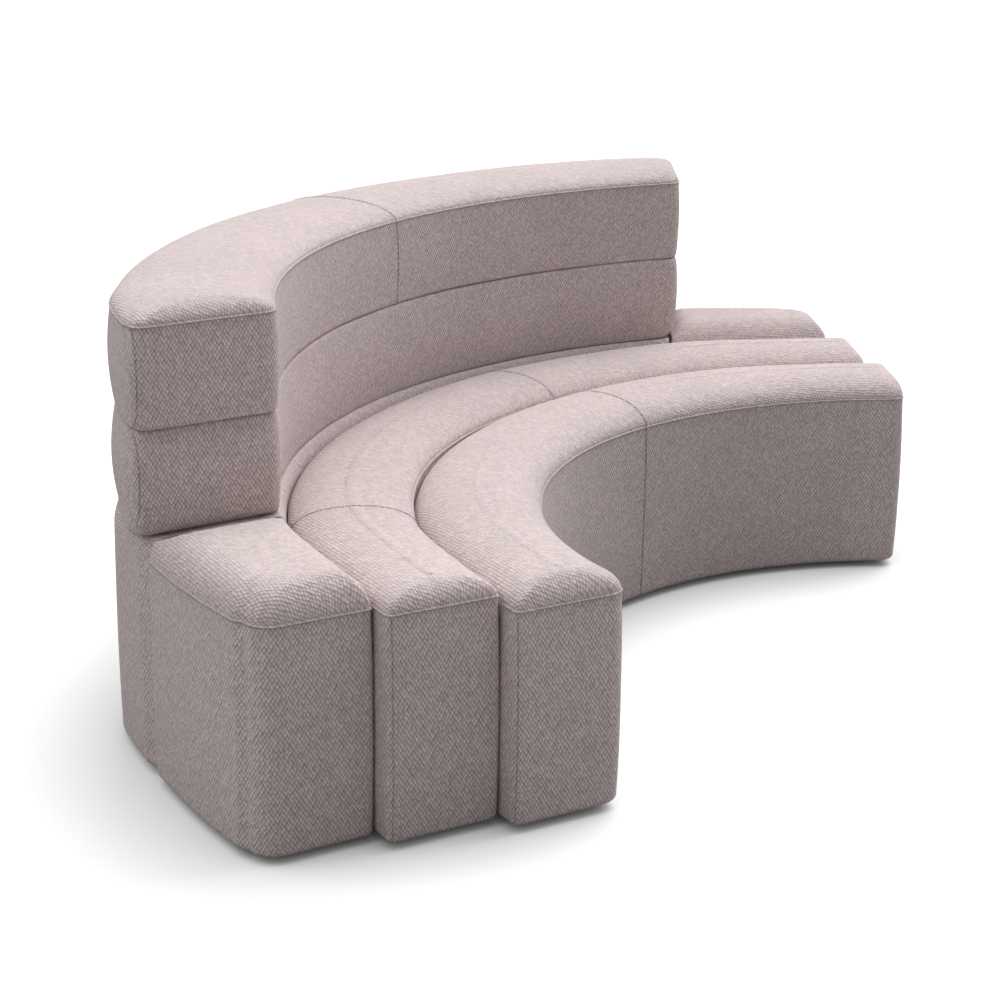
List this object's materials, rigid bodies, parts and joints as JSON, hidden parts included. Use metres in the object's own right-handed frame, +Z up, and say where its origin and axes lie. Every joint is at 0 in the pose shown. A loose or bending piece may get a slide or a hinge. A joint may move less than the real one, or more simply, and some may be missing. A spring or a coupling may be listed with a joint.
{
  "type": "upholstered banquette bench",
  "caption": "Curved upholstered banquette bench with stepped concentric seat strips and a rolled backrest, standing free on low glides.",
  "frame": {"origin": "middle of the bench's footprint, on the floor", "axes": "+X to the viewer's right as they face the seat, +Y from the open side of the curve to the back, +Z up"},
  "size_m": [2.456, 1.225, 0.86],
  "materials": {
    "upholstery": "mauve-grey pebble-woven wool mix, matt",
    "plywood": "raw birch plywood",
    "hardboard": "raw bent hardboard",
    "steel": "black powder coat",
    "glides": "black moulded plastic"
  },
  "bodies": {
    "root": {"back_base_board": "plywood", "back_end_board_left": "plywood", "back_end_board_right": "plywood", "back_lower_roll": "upholstery", "back_post_1": "steel", "back_post_2": "steel", "back_post_3": "steel", "back_post_4": "steel", "back_rib_1": "plywood", "back_rib_2": "plywood", "back_rib_3": "plywood", "back_top_board": "plywood", "back_upper_roll": "upholstery", "block_left_base_board": "plywood", "block_left_end_board": "plywood", "block_left_inner_board": "plywood", "block_left_pad": "upholstery", "block_left_seat_board": "plywood", "block_right_base_board": "plywood", "block_right_end_board": "plywood", "block_right_inner_board": "plywood", "block_right_pad": "upholstery", "block_right_seat_board": "plywood", "front_base_board": "plywood", "front_end_board_left": "plywood", "front_end_board_right": "plywood", "front_inner_skin": "hardboard", "front_outer_skin": "hardboard", "front_pad": "upholstery", "front_rib_1": "plywood", "front_rib_2": "plywood", "front_rib_3": "plywood", "front_seat_board": "plywood", "glides": "glides", "link_plates": "steel", "middle_base_board": "plywood", "middle_end_board_left": "plywood", "middle_end_board_right": "plywood", "middle_inner_skin": "hardboard", "middle_outer_skin": "hardboard", "middle_pad": "upholstery", "middle_rib_1": "plywood", "middle_rib_2": "plywood", "middle_rib_3": "plywood", "middle_seat_board": "plywood", "rear_base_board": "plywood", "rear_end_board_left": "plywood", "rear_end_board_right": "plywood", "rear_inner_skin": "hardboard", "rear_outer_skin": "hardboard", "rear_pad": "upholstery", "rear_rib_1": "plywood", "rear_rib_2": "plywood", "rear_rib_3": "plywood", "rear_seat_board": "plywood"}
  },
  "joints": []
}
